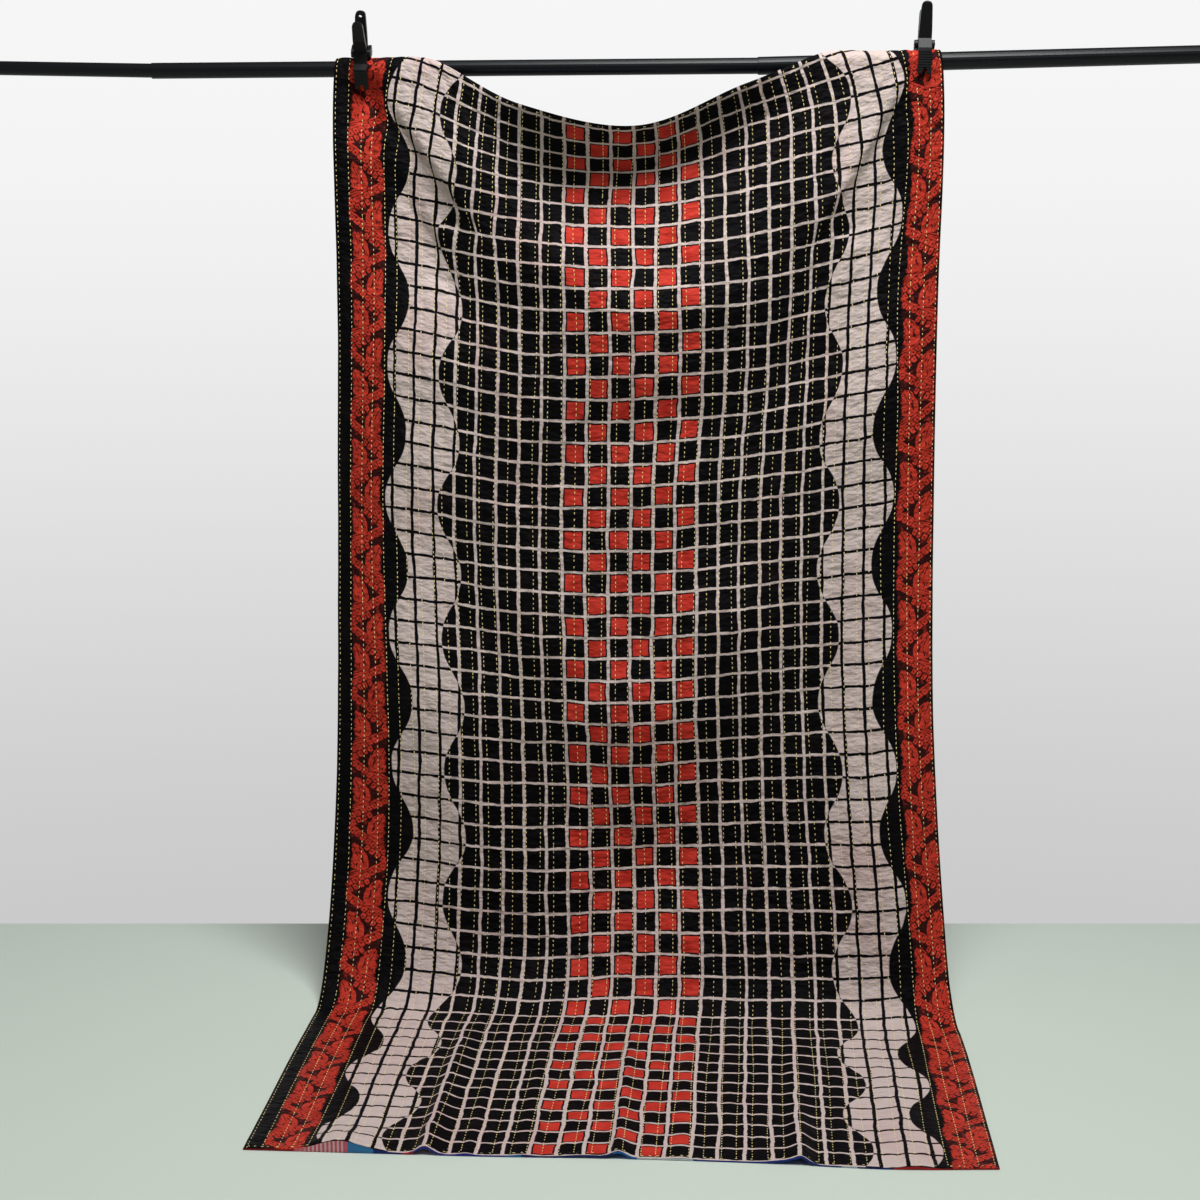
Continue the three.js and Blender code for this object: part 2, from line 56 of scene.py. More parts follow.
# ------------------------------------------------------------------ drape tables, a row for each section
SHIFT_AT = [-14.05, -10, -5, 0.2, 5.4, 10.4, 14.45]
SHIFT = [
    # row, leftEdge, leftRibbon, leftChecks, middle, rightChecks, rightRibbon, rightEdge
    [-0.3, 68, 60, 39, 34, 10, -13, -26],
    [2, 62, 46, 33, 33, 24, 13, -13],
    [5, 61, 42, 31, 32, 29, 18, -8],
    [12, 60, 45, 35, 36, 32, 7, -11],
    [20, 56, 39, 30, 31, 21, 4, -9],
    [30, 57, 51, 39, 34, 27, 13, -3],
    [41, 41, 40, 42, 43, 44, 45, 25],
    [44.5, 38, 34, 35, 39, 42, 45, 36],
    [57, 48, 42, 37, 38, 37, 37, 32],
]
RISE_AT = SHIFT_AT
RISE = [
    [-0.3, 33, 9, -82, -122, -49, 23, 56],
    [2, 37, 13, -55, -77, -20, 27, 62],
    [4, 39, 17, -33, -49, -12, 28, 65],
    [7, 45, 20, -17, -31, -7, 36, 69],
    [12, 49, 27, -11, -14, 1, 36, 66],
    [27, 51, 36, 19, 16, 30, 45, 60],
    [41, 55, 43, 30, 41, 44, 47, 60],
    [57, 47, 48, 49, 55, 55, 48, 58],
]
BULGE_AT = [-14.05, -11.2, -7.6, -3.8, 0.2, 4.2, 8, 11.6, 14.45]
BULGE = [
    # row, leftEdge, leftBorder, leftRibbon, leftChecks, middle, rightChecks, rightRibbon, rightBorder, rightEdge
    [-0.3, 0, 0, 14, 76, 92, 64, 13, 0, 0],
    [1.6, 0, 1, 14, 34, 40, 17, 5, 0, 0],
    [3.3, 3, 0, 23, 15, 22, 11, 12, -1, -5],
    [4.2, 4, -2, 27, 16, 28, 17, 16, -2, -8],
    [6, -2, -10, 23, 34, 48, 32, 21, -9, -10],
    [8, -9, -12, 12, 59, 72, 50, 13, -12, -12],
    [9.8, -15, -6, 12, 55, 98, 59, 5, -8, -15],
    [11.3, -18, 5, 20, 54, 94, 48, 1, -4, -17],
    [13.2, -21, 14, 32, 53, 82, 37, -1, 2, -20],
    [15.5, -21, 13, 30, 47, 60, 25, 5, 10, -24],
    [18, -22, 16, 32, 39, 58, 26, 5, 6, -28],
    [21.5, -20, 18, 25, 43, 48, 26, 11, 2, -29],
    [25, -8, 25, 28, 52, 43, 49, 10, 4, -26],
    [28.5, -2, 29, 42, 36, 57, 34, 4, 15, -21],
    [32, -4, 14, 36, 17, 27, 6, 8, 26, -16],
    [36, -7, -2, 20, 14, -10, -7, 9, 32, -12],
    [39.5, -4, 2, 6, -1, 1, 3, 6, 22, -7],
    [42, 2, 0, 4, 3, -1, 1, -3, 9, -5],
    [44.5, 2, 2, 2, 2, 2, 2, 2, 2, 2],
    [57, 2, 2, 2, 2, 2, 2, 2, 2, 2],
]
FOLDS = [
    # colTop, rowTop, colEnd, rowEnd, halfWidth, height
    [-12.06, 1.45, -6.46, 7.47, 0.5, -4.4],
    [-11.87, 2.06, -7.57, 7.69, 0.76, -10.4],
    [-10.93, 4.58, -8.12, 10.6, 0.78, -8],
    [12.5, 1.27, 7.4, 8.1, 0.6, 5.8],
    [12.2, 1.93, 9.97, 8.8, 0.9, -10.6],
    [11.57, 4.07, 9.2, 10.9, 0.6, 4.8],
    [-6.78, 43.0, -7.04, 64, 0.38, 8],
    [-6.9, 51, -6.95, 66, 0.42, 4],
    [-5.35, 47, -5.4, 64, 0.3, 2.5],
    [-3.1, 45, -3.3, 64, 0.42, 2],
    [-0.9, 52, -0.9, 66, 0.9, 3],
    [0.2, 44.0, 0.36, 70, 0.36, 7],
    [0.38, 53, 0.38, 68, 0.4, 3],
    [2.7, 45.5, 2.6, 64, 0.45, 2],
    [6.6, 52, 6.55, 68, 0.7, 5],
    [6.95, 44.2, 7.2, 64, 0.34, 3.5],
    [7.1, 51, 7.02, 66, 0.34, 6],
    [10.6, 46, 11.4, 60, 0.6, 3],
    [-10.25, 54.4, -10.25, 64, 1.2, 16],
]
PRESS = [
    # col, rowFrom, rowFull, rowEnd, halfWidth, depth
    [-12.52, 0.7, 1.75, 5.0, 0.75, 23],
]

SLIPS = [
    # colTop, rowTop, colEnd, rowEnd, halfWidth, sideways: how the folds by the clips pull the print askew
    [-11.9, 1.6, -6.0, 7.9, 0.55, 5.2],
    [-9.6, 6.4, -7.7, 9.6, 0.5, 3.4],
    [12.6, 1.5, 7.6, 8.7, 0.6, 5.2],
]


def hermite_at(knots, x):
    """Index and the four weights' parts of a cubic through knots, at each x."""
    k = np.asarray(knots, float)
    i = np.clip(np.searchsorted(k, x, side="left") - 1, 0, len(k) - 2)
    h = k[i + 1] - k[i]
    t = (x - k[i]) / h
    t2, t3 = t * t, t * t * t
    return i, (2 * t3 - 3 * t2 + 1, (t3 - 2 * t2 + t) * h, -2 * t3 + 3 * t2, (t3 - t2) * h)


def slopes(knots, values):
    """Slopes at the knots, along the last axis of values."""
    k = np.asarray(knots, float)
    n = len(k)
    a = np.maximum(np.arange(n) - 1, 0)
    b = np.minimum(np.arange(n) + 1, n - 1)
    return (values[..., b] - values[..., a]) / (k[b] - k[a])


def from_table(table, stations, col, row):
    table = np.array(table, float)
    rows, vals = table[:, 0], table[:, 1:]
    i, w = hermite_at(stations, col)
    m = slopes(stations, vals)
    across = vals[:, i] * w[0] + m[:, i] * w[1] + vals[:, i + 1] * w[2] + m[:, i + 1] * w[3]
    m = slopes(rows, across.T).T
    i, w = hermite_at(rows, row)
    j = np.arange(len(col))
    return across[i, j] * w[0] + m[i, j] * w[1] + across[i + 1, j] * w[2] + m[i + 1, j] * w[3]


def smooth(t):
    s = np.clip(t, 0.0, 1.0)
    return s * s * (3 - 2 * s)


class Lattice:
    """Smooth noise from -1 to 1 over a seeded lattice of points."""

    def __init__(self, seed, n=96):
        self.v = np.random.RandomState(seed).uniform(-1, 1, (n, n))
        self.n = n

    def __call__(self, x, y):
        x, y = np.broadcast_arrays(np.asarray(x, float) + 1000, np.asarray(y, float) + 1000)
        i, j = np.floor(x).astype(int), np.floor(y).astype(int)
        u, v = smooth(x - i), smooth(y - j)
        g = lambda a, b: self.v[(i + a) % self.n, (j + b) % self.n]
        return (g(0, 0) * (1 - u) + g(1, 0) * u) * (1 - v) + (g(0, 1) * (1 - u) + g(1, 1) * u) * v


soft_noise, small_noise, wander_noise, pucker_noise, cross_noise = (Lattice(s) for s in (3, 5, 7, 9, 13))


def fold_height(col, row):
    total = np.zeros_like(col)
    for col_top, row_top, col_end, row_end, half, height in FOLDS:
        t = (row - row_top) / (row_end - row_top)
        line = col_top + (col_end - col_top) * t
        grow = np.where((t > 0) & (t < 1), smooth(t / 0.25) * smooth((1 - t) / 0.2), 0)
        total += height * grow * np.exp(-(((col - line) / half) ** 2))
    for at, row_from, row_full, row_end, half, depth in PRESS:
        grow = smooth((row - row_from) / (row_full - row_from)) * smooth((row_end - row) / (row_end - row_full))
        total -= depth * grow * np.exp(-(((col - at) / half) ** 4))
    return total


def slip(col, row):
    total = np.zeros_like(col)
    for col_top, row_top, col_end, row_end, half, sideways in SLIPS:
        t = (row - row_top) / (row_end - row_top)
        grow = np.where((t > 0) & (t < 1), smooth(t / 0.25) * smooth((1 - t) / 0.25), 0)
        hand = 1.0 if col_end > col_top else -1.0
        length = math.hypot(col_end - col_top, row_end - row_top)
        below = hand * ((row - row_top) * (col_end - col_top) - (col - col_top) * (row_end - row_top)) / length / half
        total += hand * sideways * grow * below * np.exp(0.5 - below * below / 2)
    return total


SWEEP = SWEEP_A * math.acosh(1 + ROD_Z / SWEEP_A)
ROD_REACH = math.sqrt((ROD_Z + SWEEP_A) ** 2 - SWEEP_A ** 2)


def cloth_point(col, row):
    """Points of the quilt's middle, in millimetres, from printed column and row; small unevenness added."""
    col, row = (np.asarray(a, float).ravel() for a in np.broadcast_arrays(col, row))
    x = col * CELL_W + from_table(SHIFT, SHIFT_AT, col, row) + slip(col, row)
    along = ROD_REACH - row * CELL_L + from_table(RISE, RISE_AT, col, row)
    off = from_table(BULGE, BULGE_AT, col, row) + fold_height(col, row)
    hanging = smooth((row - 4) / 5) * smooth((along - 60) / 200)
    off = off + hanging * (2.2 * soft_noise(col / 3.1, row / 4.3) + 1.5 * small_noise(col / 1.7, row / 1.3))
    lying = smooth((row - 43.5) / 2)
    lying = lying * smooth((HEM_EDGE - 0.1 - row) / 1.2)
    off = off + lying * np.maximum(1.1 * small_noise(col / 1.1, row / 2.6) + 0.8 * soft_noise(col / 0.7, row / 1.2), 0)
    over = along - ROD_REACH
    # over the rod
    r = WRAP_R + np.maximum(off, 0)
    turn = np.clip(over / r, 0, math.pi)
    y_rod = -r * np.cos(turn)
    z_rod = ROD_Z + r * np.sin(turn) - np.maximum(over - math.pi * r, 0)
    # the hanging curve
    up = np.maximum(along, 0)
    run = SWEEP_A * np.arcsinh(up / SWEEP_A)
    flat, steep = 1 / np.cosh(run / SWEEP_A), np.tanh(run / SWEEP_A)
    eased = off + smooth(1 - up / (4 * SWEEP_A)) * np.maximum(FLOOR_REST - off, 0)
    y_hang = -WRAP_R - SWEEP + run - steep * eased
    z_hang = SWEEP_A * (np.cosh(run / SWEEP_A) - 1) + flat * eased
    # on the floor
    y_floor = -WRAP_R - SWEEP + along
    z_floor = np.maximum(off, FLOOR_REST)
    y = np.where(over > 0, y_rod, np.where(along > 0, y_hang, y_floor))
    z = np.where(over > 0, z_rod, np.where(along > 0, z_hang, z_floor))
    near = smooth((along - (ROD_REACH - 300)) / 300)
    z = z + np.maximum(x - THICK_END, 0) * math.tan(math.radians(THICK_TILT)) * near
    return np.stack([x, y, z], 1)


def cloth_frame(col, row):
    """Middle points with unit vectors across, along (towards the hem) and out on the print's side."""
    e = 0.02
    p = cloth_point(col, row)
    across = cloth_point(col + e, row) - cloth_point(col - e, row)
    along = cloth_point(col, row + e) - cloth_point(col, row - e)
    out = np.cross(along, across)
    unit = lambda v: v / np.maximum(np.linalg.norm(v, axis=1, keepdims=True), 1e-9)
    return p, unit(across), unit(along), unit(out)


def to_m(points):
    return (points - ORIGIN) / 1000.0


# ------------------------------------------------------------------ stitch lines and the quilted surface
LINE_STEP = (LAST_LINE - FIRST_LINE) / (STITCH_LINES - 1)


def line_col(j, row):
    """Printed column of stitch line j (may be fractional) at a row; the hand-sewn lines wander a little."""
    j, row = np.broadcast_arrays(np.asarray(j, float), np.asarray(row, float))
    base = FIRST_LINE + j * LINE_STEP
    inside = smooth(j / 2) * smooth((STITCH_LINES - 1 - j) / 2)
    return base + inside * (0.075 * wander_noise(j * 1.37, row / 5.5) + 0.05 * cross_noise(j / 4.0, row / 9))


def edge_mm(col, row):
    return np.minimum(np.minimum((col - LEFT_EDGE) * CELL_W, (RIGHT_EDGE - col) * CELL_W),
                      np.minimum((row - TOP_EDGE) * CELL_L, (HEM_EDGE - row) * CELL_L))


def near_clips(col, row):
    """1 under the clips' jaws and over the rod there, where the quilt is pressed flat."""
    spot = np.exp(-(((col + 12.5) / 0.55) ** 4)) + np.exp(-(((col - 13.6) / 0.55) ** 4))
    return np.clip(spot, 0, 1) * smooth((3.0 - row) / 0.8)


def puff(j, row, col):
    """Height of the padded channels between the stitch lines above the lines themselves, 0 to about 2 mm."""
    s = np.mod(j, 1.0)
    gap = np.floor(j)
    arch = np.sin(math.pi * s) ** 0.75
    swell = 1.05 + 0.25 * cross_noise(gap * 2.3, row / 3.0)
    ripple = 0.8 * pucker_noise(gap * 3.7 + 0.5 * s, row / 0.30) + 0.35 * small_noise(gap * 1.9, row / 0.8)
    return arch * (swell + ripple)


def quilted_grid(per_gap, row_steps, side):
    """Grid of columns (stitch line units), rows, and points of one side of the quilt."""
    js = np.arange(0, (STITCH_LINES - 1) * per_gap + 1) / per_gap
    rows = np.concatenate(row_steps)
    J, R = np.meshgrid(js, rows)
    C = line_col(J, R)
    left = np.array([[LEFT_EDGE, LEFT_EDGE + 0.05]]) * np.ones((len(rows), 1))
    right = np.array([[RIGHT_EDGE - 0.05, RIGHT_EDGE]]) * np.ones((len(rows), 1))
    C = np.hstack([left, C, right])
    J = np.hstack([np.zeros_like(left), J, np.full_like(right, STITCH_LINES - 1.0)])
    R = np.hstack([R[:, :1], R[:, :1], R, R[:, :1], R[:, :1]])
    c, r, j = C.ravel(), R.ravel(), J.ravel()
    p, across, along, out = cloth_frame(c, r)
    d = edge_mm(c, r)
    tuck = smooth(d / 4.5)
    hem = 0.35 * np.exp(-(((d - 8.0) / 3.5) ** 2))
    height = 0.5 + (puff(j, r, c) + hem) * (1 - near_clips(c, r))
    if side < 0:
        height = 0.5 + 0.75 * puff(j, r, c) * (1 - near_clips(c, r)) * (1 - 0.6 * smooth((r - 42) / 2))
    p = p + out * (side * tuck * height)[:, None]
    if side < 0:
        # the backing's hem shows as a narrow edge below the face, and wider where the hem stands up by the left corner
        last = slice(len(c) - 2 * C.shape[1], len(c) - C.shape[1])
        p[last, 1] -= 1.2
        shown = 3.2 + 15 * np.exp(-(((c[last] + 10.5) / 1.6) ** 4))
        p[last, 2] = np.maximum(np.minimum(p[last, 2], p[-C.shape[1]:, 2] - shown), 0.35)
        p[-C.shape[1]:, 1] -= 0.9
        p[-C.shape[1]:, 2] += 0.35
    return C, R, p


def grid_mesh(name, C, R, points, flip):
    nr, nc = C.shape
    k = np.arange(nr * nc).reshape(nr, nc)
    a, b, d, e = k[:-1, :-1], k[1:, :-1], k[:-1, 1:], k[1:, 1:]
    quads = np.stack([a, b, e, d], -1).reshape(-1, 4)
    if flip:
        quads = quads[:, ::-1]
    mesh = bpy.data.meshes.new(name)
    mesh.vertices.add(nr * nc)
    mesh.vertices.foreach_set("co", to_m(points).astype(np.float32).ravel())
    mesh.loops.add(quads.size)
    mesh.loops.foreach_set("vertex_index", quads.astype(np.int32).ravel())
    mesh.polygons.add(len(quads))
    mesh.polygons.foreach_set("loop_start", np.arange(0, quads.size, 4, dtype=np.int32))
    mesh.polygons.foreach_set("use_smooth", np.ones(len(quads), dtype=bool))
    uv = mesh.uv_layers.new(name="UVMap")
    u = (C - LEFT_EDGE) / (RIGHT_EDGE - LEFT_EDGE)
    v = 1 - (R - TOP_EDGE) / (HEM_EDGE - TOP_EDGE)
    uvs = np.stack([u.ravel(), v.ravel()], 1)[quads.ravel()]
    uv.data.foreach_set("uv", uvs.astype(np.float32).ravel())
    mesh.update()
    mesh.validate()
    obj = bpy.data.objects.new(name, mesh)
    bpy.context.scene.collection.objects.link(obj)
    return obj


FACE_ROWS = [np.array([-0.3, -0.25, -0.18]), np.linspace(-0.09, 2.0, 21), np.linspace(2.0, 41.0, 278)[1:],
             np.linspace(41.0, 45.0, 32)[1:], np.linspace(45.0, 56.85, 78)[1:], np.array([56.93, 57.0])]
BACK_ROWS = [np.array([-0.3, -0.25, -0.18]), np.linspace(-0.05, 2.0, 18), np.linspace(2.0, 41.0, 132)[1:],
             np.linspace(41.0, 45.0, 24)[1:], np.linspace(45.0, 56.85, 42)[1:], np.array([56.985, 57.0])]

face = grid_mesh("kantha_face", *quilted_grid(5, FACE_ROWS, +1), flip=False)
backing = grid_mesh("kantha_backing", *quilted_grid(2, BACK_ROWS, -1), flip=True)


# ------------------------------------------------------------------ running stitches, as joined meshes
def stitch_mesh(name, col, row, side, turn=0.0, lift=0.0):
    """Small rounded dashes on the cloth at the given places; turn is the dash's angle from the quilt's length."""
    n = len(col)
    p, across, along, out = cloth_frame(col, row)
    out = out * side
    jit = np.random.RandomState(len(name) + n)
    ang = turn + jit.normal(0, 0.09, n)
    ca, sa = np.cos(ang)[:, None], np.sin(ang)[:, None]
    t = along * ca + across * sa
    b = np.cross(out, t)
    L = STITCH_LEN * jit.uniform(0.8, 1.2, n)[:, None]
    W = STITCH_W * jit.uniform(0.85, 1.15, n)[:, None]
    base = p + out * (0.52 + lift)
    H = STITCH_H
    ring = []
    for s, w, h in ((-0.30, 0.5, 1.0), (0.30, 0.5, 1.0)):
        ring += [base + t * L * s + b * W * w, base + t * L * s + out * H * h, base + t * L * s - b * W * w, base + t * L * s - out * 0.35]
    tips = [base - t * L * 0.5 - out * 0.12, base + t * L * 0.5 - out * 0.12]
    verts = np.stack(ring + tips, 1).reshape(-1, 3)
    one = []
    for k in range(4):
        m = (k + 1) % 4
        one += [(8, m, k), (k, m, 4 + m), (k, 4 + m, 4 + k), (9, 4 + k, 4 + m)]
    one = np.array(one)
    tris = (one[None] + 10 * np.arange(n)[:, None, None]).reshape(-1, 3)
    mesh = bpy.data.meshes.new(name)
    mesh.vertices.add(len(verts))
    mesh.vertices.foreach_set("co", to_m(verts).astype(np.float32).ravel())
    mesh.loops.add(tris.size)
    mesh.loops.foreach_set("vertex_index", tris.astype(np.int32).ravel())
    mesh.polygons.add(len(tris))
    mesh.polygons.foreach_set("loop_start", np.arange(0, tris.size, 3, dtype=np.int32))
    mesh.polygons.foreach_set("use_smooth", np.ones(len(tris), dtype=bool))
    mesh.update()
    obj = bpy.data.objects.new(name, mesh)
    bpy.context.scene.collection.objects.link(obj)
    return obj


def running_lines(first, last, phase):
    cols, rows = [], []
    for j in range(first, last):
        pick = np.random.RandomState(100 + j)
        pitch = STITCH_PITCH * pick.uniform(0.92, 1.1)
        start = TOP_EDGE + 0.12 + pick.uniform(0, 0.2)
        r = np.arange(start, HEM_EDGE - 0.1, pitch / CELL_L) + phase * pitch / CELL_L * 0.5
        r = r + pick.normal(0, 0.022, len(r))
        r = r[(r > TOP_EDGE + 0.08) & (r < HEM_EDGE - 0.08)]
        cols.append(line_col(j, r))
        rows.append(r)
    return np.concatenate(cols), np.concatenate(rows)


HALF = STITCH_LINES // 2
stitches = []
for tag, lo, hi in (("left", 0, HALF), ("right", HALF, STITCH_LINES)):
    c, r = running_lines(lo, hi, 0)
    keep = near_clips(c, r) < 0.5
    stitches.append(stitch_mesh(f"kantha_stitches_{tag}", c[keep], r[keep], +1))
    c, r = running_lines(lo, hi, 1)
    stitches.append(stitch_mesh(f"kantha_stitches_back_{tag}", c, r, -1))
hem_cols = np.arange(LEFT_EDGE + 0.15, RIGHT_EDGE - 0.1, 11.5 / CELL_W)
hem_cols = hem_cols + rng.normal(0, 0.03, len(hem_cols))
hems_c = np.concatenate([hem_cols, hem_cols])
hems_r = np.concatenate([np.full(len(hem_cols), TOP_EDGE + 0.15), np.full(len(hem_cols), HEM_EDGE - 0.14)]) + rng.normal(0, 0.015, 2 * len(hem_cols))
keep = near_clips(hems_c, hems_r) < 0.5
stitches.append(stitch_mesh("kantha_stitches_hems", hems_c[keep], hems_r[keep], +1, turn=math.pi / 2, lift=0.35))


# ------------------------------------------------------------------ materials
class Val:
    """A shader value that adds, subtracts, multiplies and divides by Math nodes."""

    def __init__(self, g, s):
        self.g, self.s = g, s

    def __add__(self, o): return self.g.math("ADD", self, o)
    def __radd__(self, o): return self.g.math("ADD", o, self)
    def __sub__(self, o): return self.g.math("SUBTRACT", self, o)
    def __rsub__(self, o): return self.g.math("SUBTRACT", o, self)
    def __mul__(self, o): return self.g.math("MULTIPLY", self, o)
    def __rmul__(self, o): return self.g.math("MULTIPLY", o, self)
    def __truediv__(self, o): return self.g.math("DIVIDE", self, o)


class Graph:
    def __init__(self, name):
        self.mat = bpy.data.materials.new(name)
        self.mat.use_nodes = True
        self.tree = self.mat.node_tree
        self.shader = self.tree.nodes["Principled BSDF"] if "Principled BSDF" in self.tree.nodes else None
        if self.shader is None:
            self.tree.nodes.clear()
            self.shader = self.tree.nodes.new("ShaderNodeBsdfPrincipled")
            end = self.tree.nodes.new("ShaderNodeOutputMaterial")
            self.tree.links.new(self.shader.outputs[0], end.inputs[0])

    def feed(self, socket, value):
        if isinstance(value, Val):
            value = value.s
        if isinstance(value, bpy.types.NodeSocket):
            self.tree.links.new(value, socket)
        else:
            socket.default_value = value

    def math(self, op, *args, clamp=False):
        n = self.tree.nodes.new("ShaderNodeMath")
        n.operation, n.use_clamp = op, clamp
        for k, a in enumerate(args):
            self.feed(n.inputs[k], a)
        return Val(self, n.outputs[0])

    def vec(self, x, y, z=0.0):
        n = self.tree.nodes.new("ShaderNodeCombineXYZ")
        for k, a in enumerate((x, y, z)):
            self.feed(n.inputs[k], a)
        return Val(self, n.outputs[0])

    def noise(self, x, y, detail=1.0, rough=0.5, seed=0.0):
        """Noise from about -1 to 1 at coordinates already in units of its grain."""
        n = self.tree.nodes.new("ShaderNodeTexNoise")
        n.noise_dimensions = "2D"
        self.feed(n.inputs["Vector"], self.vec(x + 31.7 * seed, y + 17.3 * seed))
        n.inputs["Scale"].default_value = 1.0
        n.inputs["Detail"].default_value = detail
        n.inputs["Roughness"].default_value = rough
        return self.math("MULTIPLY_ADD", Val(self, n.outputs[0]), 2.6, -1.3)

    def cracks(self, x, y, randomness=0.9):
        """Distance to the nearest edge between cells, in cells."""
        n = self.tree.nodes.new("ShaderNodeTexVoronoi")
        n.voronoi_dimensions, n.feature = "2D", "DISTANCE_TO_EDGE"
        self.feed(n.inputs["Vector"], self.vec(x, y))
        n.inputs["Scale"].default_value = 1.0
        n.inputs["Randomness"].default_value = randomness
        return Val(self, n.outputs["Distance"])

    def step(self, x, low, high):
        """Smooth step: 0 at low, 1 at high; low may be above high."""
        n = self.tree.nodes.new("ShaderNodeMapRange")
        n.interpolation_type, n.clamp = "SMOOTHSTEP", True
        for k, a in enumerate((x, low, high)):
            self.feed(n.inputs[k], a)
        return Val(self, n.outputs[0])

    def mix(self, f, a, b):
        n = self.tree.nodes.new("ShaderNodeMix")
        n.data_type, n.blend_type = "RGBA", "MIX"
        self.feed(n.inputs[0], f)
        self.feed(n.inputs[6], a)
        self.feed(n.inputs[7], b)
        return Val(self, n.outputs[2])

    def absv(self, x): return self.math("ABSOLUTE", x)
    def maxv(self, a, b): return self.math("MAXIMUM", a, b)
    def minv(self, a, b): return self.math("MINIMUM", a, b)

    def print_place(self):
        """Printed column and row from the UV map."""
        n = self.tree.nodes.new("ShaderNodeUVMap")
        n.uv_map = "UVMap"
        sep = self.tree.nodes.new("ShaderNodeSeparateXYZ")
        self.tree.links.new(n.outputs[0], sep.inputs[0])
        u, v = Val(self, sep.outputs[0]), Val(self, sep.outputs[1])
        col = self.math("MULTIPLY_ADD", u, RIGHT_EDGE - LEFT_EDGE, LEFT_EDGE)
        row = self.math("MULTIPLY_ADD", v, -(HEM_EDGE - TOP_EDGE), HEM_EDGE)
        return col, row

    def bump(self, height, strength, distance):
        n = self.tree.nodes.new("ShaderNodeBump")
        n.inputs["Strength"].default_value = strength
        n.inputs["Distance"].default_value = distance
        self.feed(n.inputs["Height"], height)
        self.tree.links.new(n.outputs[0], self.shader.inputs["Normal"])


def srgb(r, g, b):
    f = lambda v: v / 12.92 if v <= 0.04045 else ((v + 0.055) / 1.055) ** 2.4
    return (f(r / 255), f(g / 255), f(b / 255), 1.0)


LIGHT, LIGHT_PINK = srgb(212, 194, 189), srgb(209, 183, 179)
BLACK, BLACK_WARM = srgb(6, 5, 8), srgb(19, 11, 13)
RED, RED_DEEP = srgb(212, 62, 50), srgb(184, 44, 34)
BORDER_RED, BORDER_DEEP = srgb(206, 62, 46), srgb(168, 40, 30)
BORDER_INK = srgb(17, 11, 13)


MOTIF_STEP, STEM_LEAN = 60.5, 0.51   # a bud to each step along the border, right and left in turn


def border_motif(g, p, q):
    """A vine zigzagging down the border: a plain bud above each slanting stem, dotted leaflets below it.
    p is across the border, q along it, in mm. Gives the dark ink between and the buds, each from 0 to 1."""
    p0, q0 = p, q
    p = p + 1.1 * g.noise(p0 / 13, q0 / 13, seed=41) + 0.5 * g.noise(p0 / 4, q0 / 4, seed=45)
    q = q + 1.1 * g.noise(p0 / 13, q0 / 13, seed=42) + 0.5 * g.noise(p0 / 4, q0 / 4, seed=46)
    cell = g.math("FLOOR", q / MOTIF_STEP)
    p = p * (1.0 - 2.0 * g.math("FLOORED_MODULO", cell, 2.0))
    t = q - cell * MOTIF_STEP
    foot_p, foot_t = -1.0, 46.0          # where a bud stands on its stem
    cs, sn = math.cos(STEM_LEAN), math.sin(STEM_LEAN)
    square = lambda a: a * a

    def branch(x, y):
        """A stem through (0, 0), two rows of squarish leaflets below it and narrow blades above its end."""
        u, v = x * cs + y * sn, y * cs - x * sn
        stem = g.step(g.absv(v), 2.2, 1.3)
        w = v - 2.0
        row = g.math("FLOOR", w / 11.6)
        du = g.math("FLOORED_MODULO", u + 5.6 * row, 11.4) - 5.7 + 0.2 * (w - 5.8)
        dv = w - row * 11.6 - 5.8
        leaflet = g.step(square(square(du / 5.1)) + square(square(dv / 5.3)), 1.3, 0.7)
        dot = g.step(square(du / 1.2) + square(dv / 1.6), 1.4, 0.6)
        upper = g.step(w, -0.3, 0.3) * g.step(w, 11.8, 11.4)
        lower = g.step(w, 11.4, 11.8) * g.step(w, 23.4, 23.0) * g.step(u, 3.0, 4.5)
        blades = g.step(u, 12.0, 13.5) * g.step(v, -11.0, -10.2) * g.step(v, 0.4, 0.0)
        blades = blades * g.step(g.absv(g.math("FLOORED_MODULO", v + 0.15 * u, 3.9) - 1.95), 0.45, 0.95)
        return g.maxv(g.maxv(stem, blades), leaflet * (1.0 - dot) * (upper + lower))

    red = g.maxv(branch(p - foot_p, t - foot_t), branch(-foot_p - p, t + (MOTIF_STEP - foot_t)))
    # the bud leans outwards from its foot, with a narrow dark drop inside
    x, y = p - foot_p, t - foot_t
    s, w = x * 0.51 - y * 0.86, x * 0.86 + y * 0.51
    k = g.minv(g.maxv(s / 52.0, 0.0), 1.0)
    half = (29.0 - 17.0 * g.math("LESS_THAN", w, 0.0)) * g.math("POWER", 4.0 * k * (1.0 - k), 0.8)
    above = y * cs - x * sn
    inside = g.step(half - g.absv(w), 0.0, 0.9) * g.step(above, -1.6, -2.6)
    clear = g.step(half - g.absv(w), -2.2, -1.4) * g.step(s, -1.0, 1.0) * g.step(s, 54.0, 52.0) * g.step(w, 3.0, 0.0)
    drop = g.step(square((s - 19.0) / 5.2) + square((w - 0.5) / 1.5), 1.4, 0.6)
    strokes = g.step(g.noise(s / 12.0 + 0.25 * w / 3.4, w / 3.4, detail=1, seed=47), 0.2, 0.34) * g.step(s, 6.0, 14.0)
    red = g.maxv(red * (1.0 - clear), inside * (1.0 - g.maxv(drop, 0.9 * strokes)))
    smear = g.step(g.noise(p0 / 9, q0 / 9, detail=2, seed=43), 0.2, 0.6)
    return (1.0 - red) * (1.0 - 0.4 * smear), inside


